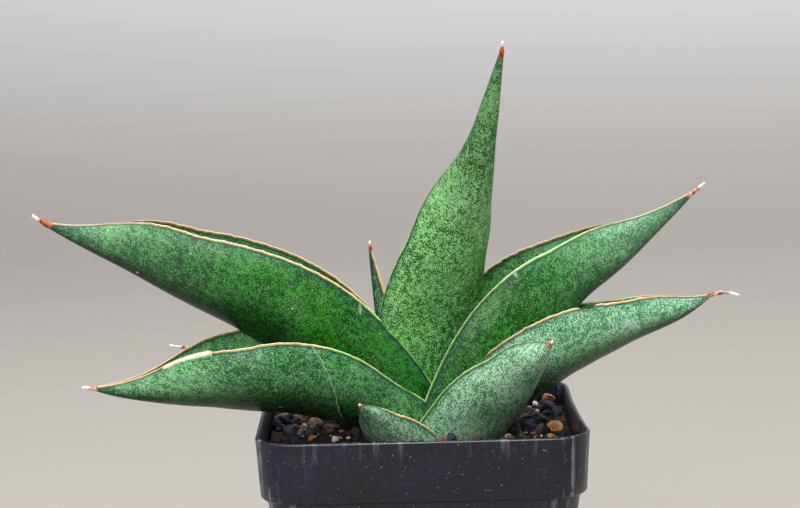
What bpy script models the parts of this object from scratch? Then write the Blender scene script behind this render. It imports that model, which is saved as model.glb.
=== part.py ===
"""Potted snake plant: thick channelled leaves on a short rootstock, in gritty mix, in a square black pot.

Metres, +Z up. The origin is the centre of the pot's flat underside. +X runs to the right of the plant's
front, +Y to its back. Lengths below are in millimetres and angles in degrees, and MM turns them to metres.
"""

import math

import bmesh
import bpy
import numpy as np
from mathutils import Vector

MM = 0.001
GAP = 0.35  # left between neighbouring solids

# Pot
RIM_HEIGHT = 92.0
RIM_HALF_WIDTH = 50.0
BODY_CORNER_RADIUS = 12.0
BAND_HEIGHT = 18.5
BAND_Z = RIM_HEIGHT - BAND_HEIGHT
BAND_TAPER = 1.2
BAND_STEP = 1.8
BASE_HALF_WIDTH = 35.0
WALL = 1.1
DRAIN_RADIUS = 4.0
DRAIN_OFFSET = 21.0
CORNER_STEPS = 5

# Potting mix
MIX_DEPTH_AT_WALL = 10.5  # below the rim
MIX_MOUND = 3.5  # how much higher it stands round the crown
MIX_RINGS = 7

# Crown and leaves
CROWN_X = 3.0
CROWN_Y = -1.0
CROWN_Z = 75.0  # where the leaves' centrelines begin
LEAF_CUT_Z = 75.6  # all leaf bases end flat here, on the rootstock
LEAF_STATIONS = 19
OUTER_POINTS = 11
INNER_POINTS = 7
MOST_WRAP = 168.0
KEEL_AT_BASE = 2.8
KEEL_IN_BLADE = 6.0

# Each leaf, from the youngest to the oldest. Along the leaf, in equal steps from base to tip: head is the
# compass direction of its centreline, rise the slope, half the half width and roll the turn about it.
# wrap is how far round the section reaches from its keel: at the base, in the blade, and the share of the
# length where its two margins have met. flat is depth over half width, again in equal steps. spine is the
# dry tip: its length, then the turn of heading and of slope in it.
LEAVES = {
    "leaf_new_spike": {
        "head": (150, 150),
        "rise": (86, 75, 68, 67, 71, 77, 79),
        "half": (3.0, 3.8, 4.3, 4.1, 3.4, 1.9, 0.6),
        "roll": (0, 0),
        "wrap": (150, 150, 0.6),
        "flat": (1, 1),
        "length": 70,
        "spine": (3.0, 0, 12),
    },
    "leaf_tall_centre": {
        "head": (286, 290, 302, 304),
        "rise": (93, 89, 76, 59, 53, 67, 69),
        "half": (6.3, 7.9, 12.9, 17.3, 17.8, 15.8, 12.5, 7.4, 4.0, 2.4, 0.8),
        "roll": (8, 8),
        "wrap": (96, 94, 0.78),
        "flat": (0.8, 0.45, 0.42, 0.85, 1.2, 1.05),
        "length": 139.5,
        "spine": (4.5, 0, 14),
    },
    "leaf_upper_left": {
        "head": (184, 185, 185, 185),
        "rise": (87, 58, 44, 28, 17, 11, 21),
        "half": (9.3, 12.0, 12.3, 12.6, 11.8, 9.3, 4.7, 0.8),
        "roll": (7, -1, -1),
        "wrap": (121, 119, 0.93),
        "flat": (1, 1.25, 1.5, 1.5, 1.5, 1.2),
        "length": 150,
        "spine": (6.5, 0, 22),
    },
    "leaf_upper_right": {
        "head": (1, 6, 5, 6),
        "rise": (86, 64, 55, 41, 20, 29, 37),
        "half": (12.3, 14.2, 14.8, 13.9, 11.2, 6.8, 3.2, 0.7),
        "roll": (2, 4, -6),
        "wrap": (120, 124, 0.84),
        "flat": (1, 1.2, 1.4, 1.4, 1.4, 1.16),
        "length": 123,
        "spine": (6.5, 0, 0),
    },
    "leaf_lower_left": {
        "head": (194, 196, 195, 193),
        "rise": (89, 41, 28, 10, -10, -7, 8),
        "half": (15.3, 14.2, 11.6, 14.0, 14.6, 13.5, 8.9, 4.4, 0.8),
        "roll": (-11, -4, -15),
        "wrap": (125, 124, 0.86),
        "flat": (1, 1.02, 1.05, 1.05, 1.05, 1.02),
        "length": 120.5,
        "spine": (4.5, 0, 0),
    },
    "leaf_lower_right": {
        "head": (356, 356, 356, 354),
        "rise": (81, 54, 37, 28, 13, 5, 27),
        "half": (18.0, 17.4, 14.1, 13.1, 10.8, 5.8, 0.7),
        "roll": (7, -5, -3),
        "wrap": (106, 114, 0.97),
        "flat": (1, 1.05, 1.1, 1.1, 1.1, 1.04),
        "length": 108,
        "spine": (10.0, 0, -50),
    },
    "leaf_small_front_right": {
        "head": (321, 318, 314, 311),
        "rise": (72, 49, 44, 41, 33, 26, 37),
        "half": (20.4, 18.4, 16.2, 14.8, 12.1, 7.0, 0.8),
        "roll": (12, -7, -18),
        "wrap": (94, 98, 0.97),
        "flat": (1, 0.92, 0.85, 0.85, 0.85, 0.94),
        "length": 66.5,
        "spine": (1.5, 0, 0),
    },
    "leaf_old_back_left": {
        "head": (144, 146, 151, 159),
        "rise": (76, 55, 32, 11, -3, -7, -3),
        "half": (20.4, 15.0, 10.6, 6.6, 4.0, 2.6, 0.7),
        "roll": (0, 0),
        "wrap": (92, 92, 0.95),
        "flat": (1, 1.02, 1.05, 1.05, 1.05, 1.02),
        "length": 105,
        "spine": (9.0, 20, 15),
    },
    "leaf_small_front_left": {
        "head": (231, 233, 237, 241),
        "rise": (73, 48, 39, 33, 24, 23, 34),
        "half": (21.5, 18.9, 14.9, 12.2, 8.7, 3.6, 0.6),
        "roll": (-12, -2, 13),
        "wrap": (88, 94, 0.97),
        "flat": (1, 0.85, 0.7, 0.7, 0.7, 0.88),
        "length": 43.5,
        "spine": (1.0, 0, 0),
        "shift": (-2.2, -4.0),
    },
}

# Rootstock
STOCK_PROFILE = ((21.0, 75.25), (20.5, 72.5), (13.0, 66.0), (11.0, 59.0), (8.5, 53.0), (3.0, 50.5))
STOCK_STEPS = 20
ROOT_RADIUS = 1.7
ROOTS = (20, 85, 140, 205, 262, 318)  # compass directions
ROOT_TOP = 57.0
ROOT_START = 5.0  # from the axis
ROOT_REACH = 20.0
ROOT_DROP = 36.0
ROOT_STEPS = 7

# Lumps in the top of the mix: centre x and y, height of the top, half sizes, turn, seed
LUMPS = {
    "stone_grey": ((-39.5, 12.0), 86.2, (4.6, 4.0, 3.4), 20, 3),
    "clay_chip_left": ((-34.0, 20.5), 86.6, (3.6, 2.8, 2.4), 60, 5),
    "bark_chip": ((-28.0, 10.5), 86.4, (5.6, 3.0, 2.2), 25, 8),
    "pumice_left": ((-26.0, -8.0), 86.4, (2.8, 2.4, 2.2), 0, 2),
    "pumice_front": ((-10.0, -37.5), 88.2, (3.4, 2.6, 2.4), 15, 6),
    "charcoal_front": ((33.5, 6.0), 86.6, (4.4, 3.6, 3.0), 40, 4),
    "charcoal_middle": ((39.0, 18.0), 86.8, (4.8, 3.6, 3.2), 10, 7),
    "charcoal_back": ((34.5, 29.0), 88.0, (4.0, 4.4, 3.4), 70, 9),
    "charcoal_corner": ((42.0, 31.0), 88.2, (3.2, 3.8, 3.0), 30, 11),
    "clay_chip_orange": ((42.5, 5.0), 86.6, (3.4, 2.4, 2.0), 50, 12),
    "clay_chip_red": ((43.5, 40.5), 89.0, (2.6, 2.2, 2.0), 0, 13),
    "pumice_back": ((37.5, 42.0), 89.2, (3.4, 2.2, 2.0), 80, 14),
}


def clear_scene():
    for found in list(bpy.data.objects):
        bpy.data.objects.remove(found, do_unlink=True)


def new_collection(name, hidden):
    made = bpy.data.collections.new(name)
    made.hide_render = hidden
    bpy.context.scene.collection.children.link(made)
    return made


def material(name, colour, roughness, subsurface=0.0):
    made = bpy.data.materials.new(name)
    made.use_nodes = True
    shader = made.node_tree.nodes["Principled BSDF"]
    shader.inputs["Base Color"].default_value = (*colour, 1)
    shader.inputs["Roughness"].default_value = roughness
    shader.inputs["Subsurface Weight"].default_value = subsurface
    made.diffuse_color = (*colour, 1)
    return made


def place(name, mesh, collection, slot=None):
    """An object of the mesh. In the helpers' collection it is a cutter, drawn as a wire."""
    made = bpy.data.objects.new(name, mesh)
    collection.objects.link(made)
    if slot:
        mesh.materials.append(slot)
    if collection.hide_render:
        made.hide_render = True
        made.display_type = "WIRE"
    return made


def mesh_of(name, shape):
    """The mesh of a bmesh in metres, with its normals turned outward."""
    bmesh.ops.recalc_face_normals(shape, faces=shape.faces)
    mesh = bpy.data.meshes.new(name)
    shape.to_mesh(mesh)
    shape.free()
    return mesh


def cut(body, cutter, operation="DIFFERENCE"):
    modifier = body.modifiers.new(cutter.name, "BOOLEAN")
    modifier.operation = operation
    modifier.solver = "EXACT"
    modifier.object = cutter
    modifier.use_self = True


def raise_top(shape, top, scale, z):
    """Extrudes the top face, scales the new one about the axis and sets its height."""
    made = bmesh.ops.extrude_discrete_faces(shape, faces=[top])["faces"][0]
    for vertex in made.verts:
        vertex.co.x *= scale
        vertex.co.y *= scale
        vertex.co.z = z
    return made


def rounded_box(levels, radius):
    """A bmesh block with rounded corners, raised through (half width, height) levels, and its top face."""
    shape = bmesh.new()
    bmesh.ops.create_cube(shape, size=2 * MM)
    (low, low_z), (high, high_z) = levels[:2]
    for vertex in shape.verts:
        half, z = (high, high_z) if vertex.co.z > 0 else (low, low_z)
        vertex.co.x *= half
        vertex.co.y *= half
        vertex.co.z = z * MM
    upright = [e for e in shape.edges if abs(e.verts[0].co.z - e.verts[1].co.z) > 0.5 * (high_z - low_z) * MM]
    bmesh.ops.bevel(shape, geom=upright, offset=radius * MM, segments=CORNER_STEPS, profile=0.5,
                    affect="EDGES", offset_type="OFFSET")
    top = max(shape.faces, key=lambda f: f.calc_center_median().z)
    for (before, _), (half, z) in zip(levels[1:], levels[2:]):
        top = raise_top(shape, top, half / before, z * MM)
    return shape, top


def body_half_width(z):
    """Half width of the pot's outside at height z, below the band."""
    top = RIM_HALF_WIDTH - BAND_TAPER - BAND_STEP
    return BASE_HALF_WIDTH + (top - BASE_HALF_WIDTH) * z / BAND_Z


def build_pot(nodes, helpers, slot):
    """An open shell: the tapered body, the step out to the band, and the band up to the rim."""
    band = RIM_HALF_WIDTH - BAND_TAPER
    shape, top = rounded_box(
        (
            (BASE_HALF_WIDTH, 0.0),
            (body_half_width(BAND_Z - 1.0), BAND_Z - 1.0),
            (band - 0.4, BAND_Z),
            (band, BAND_Z + 0.8),
            (RIM_HALF_WIDTH, RIM_HEIGHT),
        ),
        BODY_CORNER_RADIUS,
    )
    bmesh.ops.delete(shape, geom=[top], context="FACES_ONLY")
    pot = place("pot", mesh_of("pot", shape), nodes, slot)
    shell = pot.modifiers.new("wall", "SOLIDIFY")
    shell.thickness = WALL * MM
    shell.offset = -1
    shell.use_even_offset = True
    for k in range(4):
        angle = math.radians(45 + 90 * k)
        reach = DRAIN_OFFSET * math.sqrt(2)
        shape = bmesh.new()
        bmesh.ops.create_cone(shape, cap_ends=True, segments=16, radius1=DRAIN_RADIUS * MM,
                              radius2=DRAIN_RADIUS * MM, depth=8 * MM)
        drain = place(f"drain_{k}", mesh_of(f"drain_{k}", shape), helpers)
        drain.location = (reach * math.cos(angle) * MM, reach * math.sin(angle) * MM, 0)
        cut(pot, drain)
    return pot


def loft(rings):
    """A bmesh of a closed body through rings of points in millimetres, equal in count, capped at both ends."""
    shape = bmesh.new()
    rows = [[shape.verts.new(point) for point in ring * MM] for ring in rings]
    count = len(rows[0])
    shape.faces.new(rows[0][::-1])
    for low, high in zip(rows, rows[1:]):
        for k in range(count):
            after = (k + 1) % count
            shape.faces.new((low[k], low[after], high[after], high[k]))
    shape.faces.new(rows[-1])
    return shape


def through(values, share):
    """A smooth curve through equally spaced values, at a share from 0 to 1 of its length."""
    values = np.asarray(values, float)
    last = len(values) - 1
    place = np.clip(share, 0, 1) * last
    low = min(int(place), last - 1)
    t = place - low
    ends = np.concatenate([[2 * values[0] - values[1]], values, [2 * values[-1] - values[-2]]])
    a, b, c, d = ends[low : low + 4]
    return b + 0.5 * t * (c - a + t * (2 * a - 5 * b + 4 * c - d + t * (3 * (b - c) + d - a)))


def ease(low, high, value):
    t = min(max((value - low) / (high - low), 0.0), 1.0)
    return t * t * (3 - 2 * t)


def direction(heading, slope):
    return np.array((math.cos(slope) * math.cos(heading), math.cos(slope) * math.sin(heading), math.sin(slope)))


def leaf_stations(leaf):
    """Along the leaf: the share of its length, the centre, its side and inner directions."""
    share = np.linspace(0, 1, LEAF_STATIONS)
    fine = 8
    shift_x, shift_y = leaf.get("shift", (0, 0))
    centre = np.array((CROWN_X + shift_x, CROWN_Y + shift_y, CROWN_Z))
    step = leaf["length"] / (LEAF_STATIONS - 1) / fine
    found = []
    for i, s in enumerate(share):
        heading = math.radians(through(leaf["head"], s))
        slope = math.radians(through(leaf["rise"], s))
        roll = math.radians(through(leaf["roll"], s))
        along = direction(heading, slope)
        inner = direction(heading, slope + math.pi / 2)
        side = np.cross(along, inner)
        found.append((s, centre.copy(), side * math.cos(roll) - inner * math.sin(roll),
                      inner * math.cos(roll) + side * math.sin(roll)))
        if i == LEAF_STATIONS - 1:
            break
        for k in range(fine):
            t = s + (k + 0.5) / fine / (LEAF_STATIONS - 1)
            way = direction(math.radians(through(leaf["head"], t)), math.radians(through(leaf["rise"], t)))
            centre = centre + way * step
    length, turn, lift = leaf["spine"]
    for k in (0.35, 0.7, 1.0):
        heading = math.radians(leaf["head"][-1] + turn * k)
        slope = math.radians(leaf["rise"][-1] + lift * k)
        along = direction(heading, slope)
        centre = centre + along * length * 0.35
        found.append((1 + k, centre.copy(), found[-1][2], np.cross(found[-1][2], along)))
    return found


def leaf_section(leaf, s):
    """Half width, depth, wrap and keel thickness of the leaf at s. Past 1 it is the dry tip."""
    half = through(leaf["half"], s) if s <= 1 else leaf["half"][-1] * (1.55 - 0.6 * s)
    flat = through(leaf["flat"], s)
    at_base, in_blade, closed = leaf["wrap"]
    wrap = at_base + (in_blade - at_base) * ease(0, 0.3, s)
    wrap = wrap + (MOST_WRAP - wrap) * ease(closed - 0.25, closed, s)
    keel = KEEL_AT_BASE + (KEEL_IN_BLADE - KEEL_AT_BASE) * ease(0.1, 0.45, s)
    return half, half * flat, math.radians(wrap), keel


def leaf_solid(name, leaf, collection, slot=None, grow=0.0):
    """A leaf with its channel, or with grow over 0 the full shape it takes from its neighbours."""
    rings = []
    for s, centre, side, inner in leaf_stations(leaf):
        half, depth, wrap, keel = leaf_section(leaf, s)
        half, depth = half + grow, depth + grow
        angles = np.linspace(-wrap, wrap, OUTER_POINTS)
        ring = [centre + side * half * math.sin(a) - inner * depth * math.cos(a) for a in angles]
        chord = half * math.sin(wrap)
        lift = -depth * math.cos(wrap) + grow
        if grow:
            keep = INNER_POINTS - 5
            bottom = 0.0
        else:
            keep = INNER_POINTS
            bottom = max(lift + depth - min(keel, 0.45 * depth), 0.25 * chord)
            bottom *= 1 - ease(leaf["wrap"][2] - 0.3, leaf["wrap"][2], s) * 0.8
        for x in np.linspace(1, -1, keep + 2)[1:-1]:
            ring.append(centre + side * chord * x + inner * (lift - bottom * (1 - x * x)))
        rings.append(np.array(ring))
    return place(name, mesh_of(name, loft(rings)), collection, slot)


def build_leaves(nodes, helpers, slots):
    """Each leaf ends flat on the rootstock and makes room for all younger ones."""
    shape = bmesh.new()
    bmesh.ops.create_cube(shape, size=120 * MM)
    ground = place("ground", mesh_of("ground", shape), helpers)
    ground.location.z = (LEAF_CUT_Z - 60) * MM
    younger = []
    for name, leaf in LEAVES.items():
        made = leaf_solid(name, leaf, nodes, slots[name])
        cut(made, ground)
        for cutter in younger:
            cut(made, cutter)
        younger.append(leaf_solid("room_" + name, leaf, helpers, None, GAP))
    return younger


def turned(name, profile, collection, slot=None):
    """A profile of (radius, height), run down its outer side and closed on the axis, turned by a Screw."""
    mesh = bpy.data.meshes.new(name)
    points = [(0, profile[0][1]), *profile, (0, profile[-1][1])]
    edges = [(k, k + 1) for k in range(len(points) - 1)]
    mesh.from_pydata([(radius * MM, 0, z * MM) for radius, z in points], edges, [])
    made = place(name, mesh, collection, slot)
    made.location = (CROWN_X * MM, CROWN_Y * MM, 0)
    screw = made.modifiers.new("turn", "SCREW")
    screw.steps = STOCK_STEPS
    screw.render_steps = STOCK_STEPS
    screw.use_merge_vertices = True
    screw.merge_threshold = 0.00001
    return made


def root_tube(name, heading, grow, collection):
    """One root, from inside the rootstock out and down, as a tapered tube made a mesh."""
    curve = bpy.data.curves.new(name, "CURVE")
    curve.dimensions = "3D"
    curve.bevel_depth = MM
    curve.bevel_resolution = 2
    curve.use_fill_caps = True
    spline = curve.splines.new("POLY")
    spline.points.add(ROOT_STEPS - 1)
    heading = math.radians(heading)
    for k, point in enumerate(spline.points):
        t = k / (ROOT_STEPS - 1)
        reach = ROOT_START + ROOT_REACH * math.sin(t * math.pi / 2)
        drop = ROOT_DROP * t * t + (grow if k == ROOT_STEPS - 1 else 0)
        x = CROWN_X + reach * math.cos(heading)
        y = CROWN_Y + reach * math.sin(heading)
        point.co = (x * MM, y * MM, (ROOT_TOP - drop) * MM, 1)
        point.radius = ROOT_RADIUS * (1 - 0.5 * t) + grow
    guide = bpy.data.objects.new(name + "_guide", curve)
    bpy.context.scene.collection.objects.link(guide)
    graph = bpy.context.evaluated_depsgraph_get()
    mesh = bpy.data.meshes.new_from_object(guide.evaluated_get(graph))
    bpy.data.objects.remove(guide, do_unlink=True)
    shape = bmesh.new()
    shape.from_mesh(mesh)
    bmesh.ops.remove_doubles(shape, verts=shape.verts, dist=0.00001)
    return place(name, mesh_of(name, shape), collection)


def build_rootstock(nodes, helpers, slot):
    """The rootstock with its roots as one body, and the cutters that make room for it in the mix."""
    stock = turned("rootstock", STOCK_PROFILE, nodes, slot)
    middle = [(radius + GAP, z) for radius, z in STOCK_PROFILE]
    middle[0] = (middle[0][0], middle[0][1] + GAP)
    middle[-1] = (middle[-1][0], middle[-1][1] - GAP)
    room = [turned("room_rootstock", middle, helpers)]
    for heading in ROOTS:
        cut(stock, root_tube(f"root_{heading}", heading, 0, helpers), "UNION")
        room.append(root_tube(f"room_root_{heading}", heading, GAP, helpers))
    return room


def mix_top(x, y):
    """Height of the mix's surface: mounded round the crown, uneven all over."""
    away = math.hypot(x - CROWN_X, y - CROWN_Y)
    mound = MIX_MOUND * (1 - ease(22, 44, away))
    uneven = 0.5 * math.sin(0.41 * x + 1.3) * math.cos(0.37 * y) + 0.35 * math.sin(0.83 * y - 0.6 * x)
    back = 2.2 * ease(10, 44, y)
    return RIM_HEIGHT - MIX_DEPTH_AT_WALL + mound + back + uneven


def build_mix(nodes, slot, room):
    """A block shaped by the pot's inside, its top face extruded inward in rings of uneven height."""
    shy = WALL + GAP
    bottom = WALL + GAP
    neck = BAND_Z - 0.1
    throat = RIM_HALF_WIDTH - BAND_TAPER - shy
    shape, top = rounded_box(
        (
            (body_half_width(bottom) - shy, bottom),
            (body_half_width(neck) - shy, neck),
            (throat - 0.4, BAND_Z + 2.4),
            (throat, RIM_HEIGHT - MIX_DEPTH_AT_WALL),
        ),
        BODY_CORNER_RADIUS - shy,
    )
    uneven = set(top.verts)
    for k in range(MIX_RINGS):
        top = raise_top(shape, top, (MIX_RINGS - k) / (MIX_RINGS - k + 1), RIM_HEIGHT * MM)
        uneven |= set(top.verts)
    for vertex in uneven:
        vertex.co.z = mix_top(vertex.co.x / MM, vertex.co.y / MM) * MM
    mix = place("potting_mix", mesh_of("potting_mix", shape), nodes, slot)
    for cutter in room:
        cut(mix, cutter)
    return mix


def lump_mesh(name, sizes, seed, grow):
    """An angular stone: a ball pressed in by random flats."""
    shape = bmesh.new()
    bmesh.ops.create_icosphere(shape, subdivisions=2, radius=1)
    rng = np.random.default_rng(seed)
    flats = rng.normal(size=(9, 3))
    flats /= np.linalg.norm(flats, axis=1)[:, None]
    reach = rng.uniform(0.62, 0.9, 9)
    for vertex in shape.verts:
        for flat, far in zip(flats, reach):
            over = max(float(np.dot(flat, vertex.co)) - far, 0)
            vertex.co -= Vector(flat * over * 0.85)
        vertex.co = Vector([c * (size + grow) * MM for c, size in zip(vertex.co, sizes)])
    return mesh_of(name, shape)


def build_lumps(nodes, helpers, slots):
    """The lumps, and the cutters that seat them in the mix."""
    room = []
    for name, ((x, y), top, sizes, turn, seed) in LUMPS.items():
        lump = place(name, lump_mesh(name, sizes, seed, 0), nodes, slots[name])
        seat = place("room_" + name, lump_mesh("room_" + name, sizes, seed, GAP), helpers)
        highest = max(vertex.co.z for vertex in lump.data.vertices)
        for made in (lump, seat):
            made.location = (x * MM, y * MM, top * MM - highest)
            made.rotation_euler.z = math.radians(turn)
        room.append(seat)
    return room


def main():
    clear_scene()
    nodes = new_collection("plant", False)
    helpers = new_collection("helpers", True)
    slots = {
        "pot": material("pot_plastic", (0.022, 0.024, 0.036), 0.42),
        "mix": material("mix_grit", (0.035, 0.024, 0.017), 0.95),
        "stock": material("stock_flesh", (0.55, 0.42, 0.26), 0.6),
    }
    greens = {
        "leaf_new_spike": (0.035, 0.14, 0.03),
        "leaf_tall_centre": (0.07, 0.22, 0.055),
        "leaf_upper_left": (0.04, 0.17, 0.035),
        "leaf_upper_right": (0.045, 0.18, 0.04),
        "leaf_lower_left": (0.045, 0.13, 0.055),
        "leaf_lower_right": (0.05, 0.15, 0.065),
        "leaf_small_front_right": (0.075, 0.19, 0.095),
        "leaf_old_back_left": (0.04, 0.11, 0.045),
        "leaf_small_front_left": (0.06, 0.16, 0.08),
    }
    for name, colour in greens.items():
        slots[name] = material(name.replace("leaf_", "green_"), colour, 0.45, 0.05)
    stones = {
        "stone_grey": (0.23, 0.22, 0.21),
        "clay_chip_left": (0.5, 0.22, 0.13),
        "bark_chip": (0.16, 0.075, 0.04),
        "pumice_left": (0.62, 0.56, 0.48),
        "pumice_front": (0.7, 0.66, 0.58),
        "charcoal_front": (0.02, 0.021, 0.026),
        "charcoal_middle": (0.024, 0.025, 0.03),
        "charcoal_back": (0.018, 0.019, 0.023),
        "charcoal_corner": (0.022, 0.023, 0.028),
        "clay_chip_orange": (0.55, 0.24, 0.08),
        "clay_chip_red": (0.42, 0.1, 0.05),
        "pumice_back": (0.66, 0.5, 0.42),
    }
    for name, colour in stones.items():
        slots[name] = material(name + "_face", colour, 0.9)
    build_pot(nodes, helpers, slots["pot"])
    room = build_leaves(nodes, helpers, slots)
    room += build_rootstock(nodes, helpers, slots["stock"])
    room += build_lumps(nodes, helpers, slots)
    build_mix(nodes, slots["mix"], room)


main()
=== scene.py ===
"""Potted snake plant: thick channelled leaves in gritty mix, in a square black nursery pot."""

import math

import bmesh
import bpy
import numpy as np
from mathutils import Matrix, Vector, noise


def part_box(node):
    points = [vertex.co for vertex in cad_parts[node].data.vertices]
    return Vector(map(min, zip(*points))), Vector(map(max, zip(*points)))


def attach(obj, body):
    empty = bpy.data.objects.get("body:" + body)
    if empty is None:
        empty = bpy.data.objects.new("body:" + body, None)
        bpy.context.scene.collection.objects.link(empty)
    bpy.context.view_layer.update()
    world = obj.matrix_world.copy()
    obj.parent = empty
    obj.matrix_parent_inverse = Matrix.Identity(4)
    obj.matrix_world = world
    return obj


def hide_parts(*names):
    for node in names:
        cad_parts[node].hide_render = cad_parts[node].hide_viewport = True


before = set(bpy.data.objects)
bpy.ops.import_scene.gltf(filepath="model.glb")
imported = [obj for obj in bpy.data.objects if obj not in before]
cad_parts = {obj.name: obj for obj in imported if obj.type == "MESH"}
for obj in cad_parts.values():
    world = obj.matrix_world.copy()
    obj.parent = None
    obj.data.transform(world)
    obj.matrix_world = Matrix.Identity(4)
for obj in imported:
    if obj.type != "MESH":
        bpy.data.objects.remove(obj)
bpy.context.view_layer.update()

MM = 0.001

# Pot
RIM_HEIGHT = 92.0
BAND_HEIGHT = 18.5
BAND_Z = RIM_HEIGHT - BAND_HEIGHT
FOOT_CORNER = 9.0
CORNER_STEPS = 14
SIDE_CUTS = 15

# The pot's section from the middle of its foot, up the outside, over the lip and down the inside: height
# and half width.
POT_START = 33.6
POT_SECTION = (
    (0.4, 34.5),
    (1.6, 35.3),
    (BAND_Z - 1.0, 46.9),
    (BAND_Z - 0.2, 47.2),
    (BAND_Z, 48.3),
    (BAND_Z + 0.7, 48.85),
    (RIM_HEIGHT - 1.3, 49.9),
    (RIM_HEIGHT - 0.4, 50.0),
    (RIM_HEIGHT, 49.6),
    (RIM_HEIGHT, 49.1),
    (RIM_HEIGHT - 0.5, 48.75),
    (BAND_Z + 2.4, 47.9),
    (BAND_Z - 0.6, 46.1),
    (2.6, 34.2),
    (1.3, 33.4),
)
POT_LEVEL = 6.0  # most height between two rows of points
WALL_SAG = 1.1  # how far the right wall leans in at the middle of its rim
SAG_HALF_LENGTH = 44.0  # the sag dies out this far along the wall
DRAIN_RADIUS = 4.0
DRAIN_OFFSET = 21.0
DRAIN_STEPS = 40
DRILL_LENGTH = 8.0
SMOOTH_BELOW = 45  # degrees between faces that still shade as one
PLASTIC = ((4, 9, 26), (9, 17, 40))
DUST = (150, 152, 152)
FINE_DUST = (110, 112, 120)
# pale scuffs on the corners, and the painted highlight along the lip
SCUFF_AND_LIP_HIGHLIGHT = (146, 152, 166)
SMEAR = (6, 6, 9)

# Mix
MIX_HALF_WIDTH = 47.8
MIX_CORNER = 11.5
MIX_DEPTH_AT_WALL = 10.5
MIX_MOUND = 3.5
MIX_RISE_AT_BACK = 2.2
HUMUS = ((18, 13, 10), (46, 34, 26))
PACKED_MIX = ((24, 17, 13), (66, 50, 38))
ROOT_SKIN = ((150, 96, 52), (206, 160, 104))
CRUST_CELLS = 150
CRUST_THICK = 1.2
CRUST_WELD = 1e-5
CRUST_LIFT = 0.9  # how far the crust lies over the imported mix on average
CRUST_LEAST = 0.2  # and at its lowest
BIT_LIFT = 0.5
CROWN_CLEAR = 17.0  # no bits lie this close to the crown
BIT_CORE = 36.0  # past this, bits keep to a rounded corner
BIT_CORNER = 10.5
BIT_PRESSES = 5
LUMP_PRESSES = 11
LUMP_LEVELS = 5

# Bits in the top of the mix: dark and light screen colours, how many, smallest and largest half size,
# length over width, subdivisions of the ball that each is pressed from
BITS = {
    "humus_crumbs": (((22, 16, 12), (58, 42, 32)), 1300, 0.5, 1.3, 1.3, 1),
    "charcoal_bits": (((12, 15, 22), (62, 70, 88)), 260, 0.9, 2.4, 1.5, 2),
    "pumice_bits": (((176, 168, 160), (238, 234, 228)), 170, 0.4, 1.4, 1.2, 2),
    "clay_bits": (((130, 74, 40), (220, 160, 104)), 70, 0.5, 1.6, 1.3, 2),
    "bark_bits": (((58, 40, 32), (150, 116, 98)), 90, 0.9, 2.4, 2.0, 2),
}

# Lumps that stand in for their solids, with dark and light screen colours
LUMP_TONES = {
    "stone_grey": ((34, 32, 36), (96, 90, 92)),
    "clay_chip_left": ((84, 60, 52), (182, 150, 134)),
    "bark_chip": ((64, 46, 38), (166, 136, 120)),
    "pumice_left": ((160, 154, 146), (230, 226, 218)),
    "pumice_front": ((186, 178, 170), (240, 236, 230)),
    "charcoal_front": ((14, 17, 24), (56, 64, 80)),
    "charcoal_middle": ((16, 19, 28), (60, 70, 88)),
    "charcoal_back": ((14, 15, 20), (58, 58, 68)),
    "charcoal_corner": ((12, 14, 20), (48, 54, 66)),
    "clay_chip_orange": ((140, 84, 40), (226, 176, 112)),
    "clay_chip_red": ((110, 56, 42), (206, 136, 112)),
    "pumice_back": ((184, 160, 150), (240, 222, 212)),
}

# Leaves
CROWN = np.array((3.0, -1.0, 75.0))
ALONG = 220  # rings along the leaf
SPINE_RINGS = 14  # and along its dry tip
OUTER_HALF = 24  # points from keel to margin outside
INNER_HALF = 14  # and inside
MARGIN_UP = np.array((0.0, 0.5, 1.0, 0.6, 0.1))  # section of the papery edge, as shares of its height
MARGIN_BACK = np.array((0.02, 0.12, 0.5, 0.9, 1.15))  # and of its thickness
BEAD = len(MARGIN_UP)
MARGIN_TALL = 0.42
MARGIN_THICK = 0.26
MOST_WRAP = 168.0
KEEL_AT_BASE = 2.8
KEEL_IN_BLADE = 6.0
KEEL_REACH = 12.0  # round the leaf from its keel, where the keel's painted shade ends
NO_SCRATCH = 99.0  # a distance that no scratch reaches
LEAF_WELD = 2e-6

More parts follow.
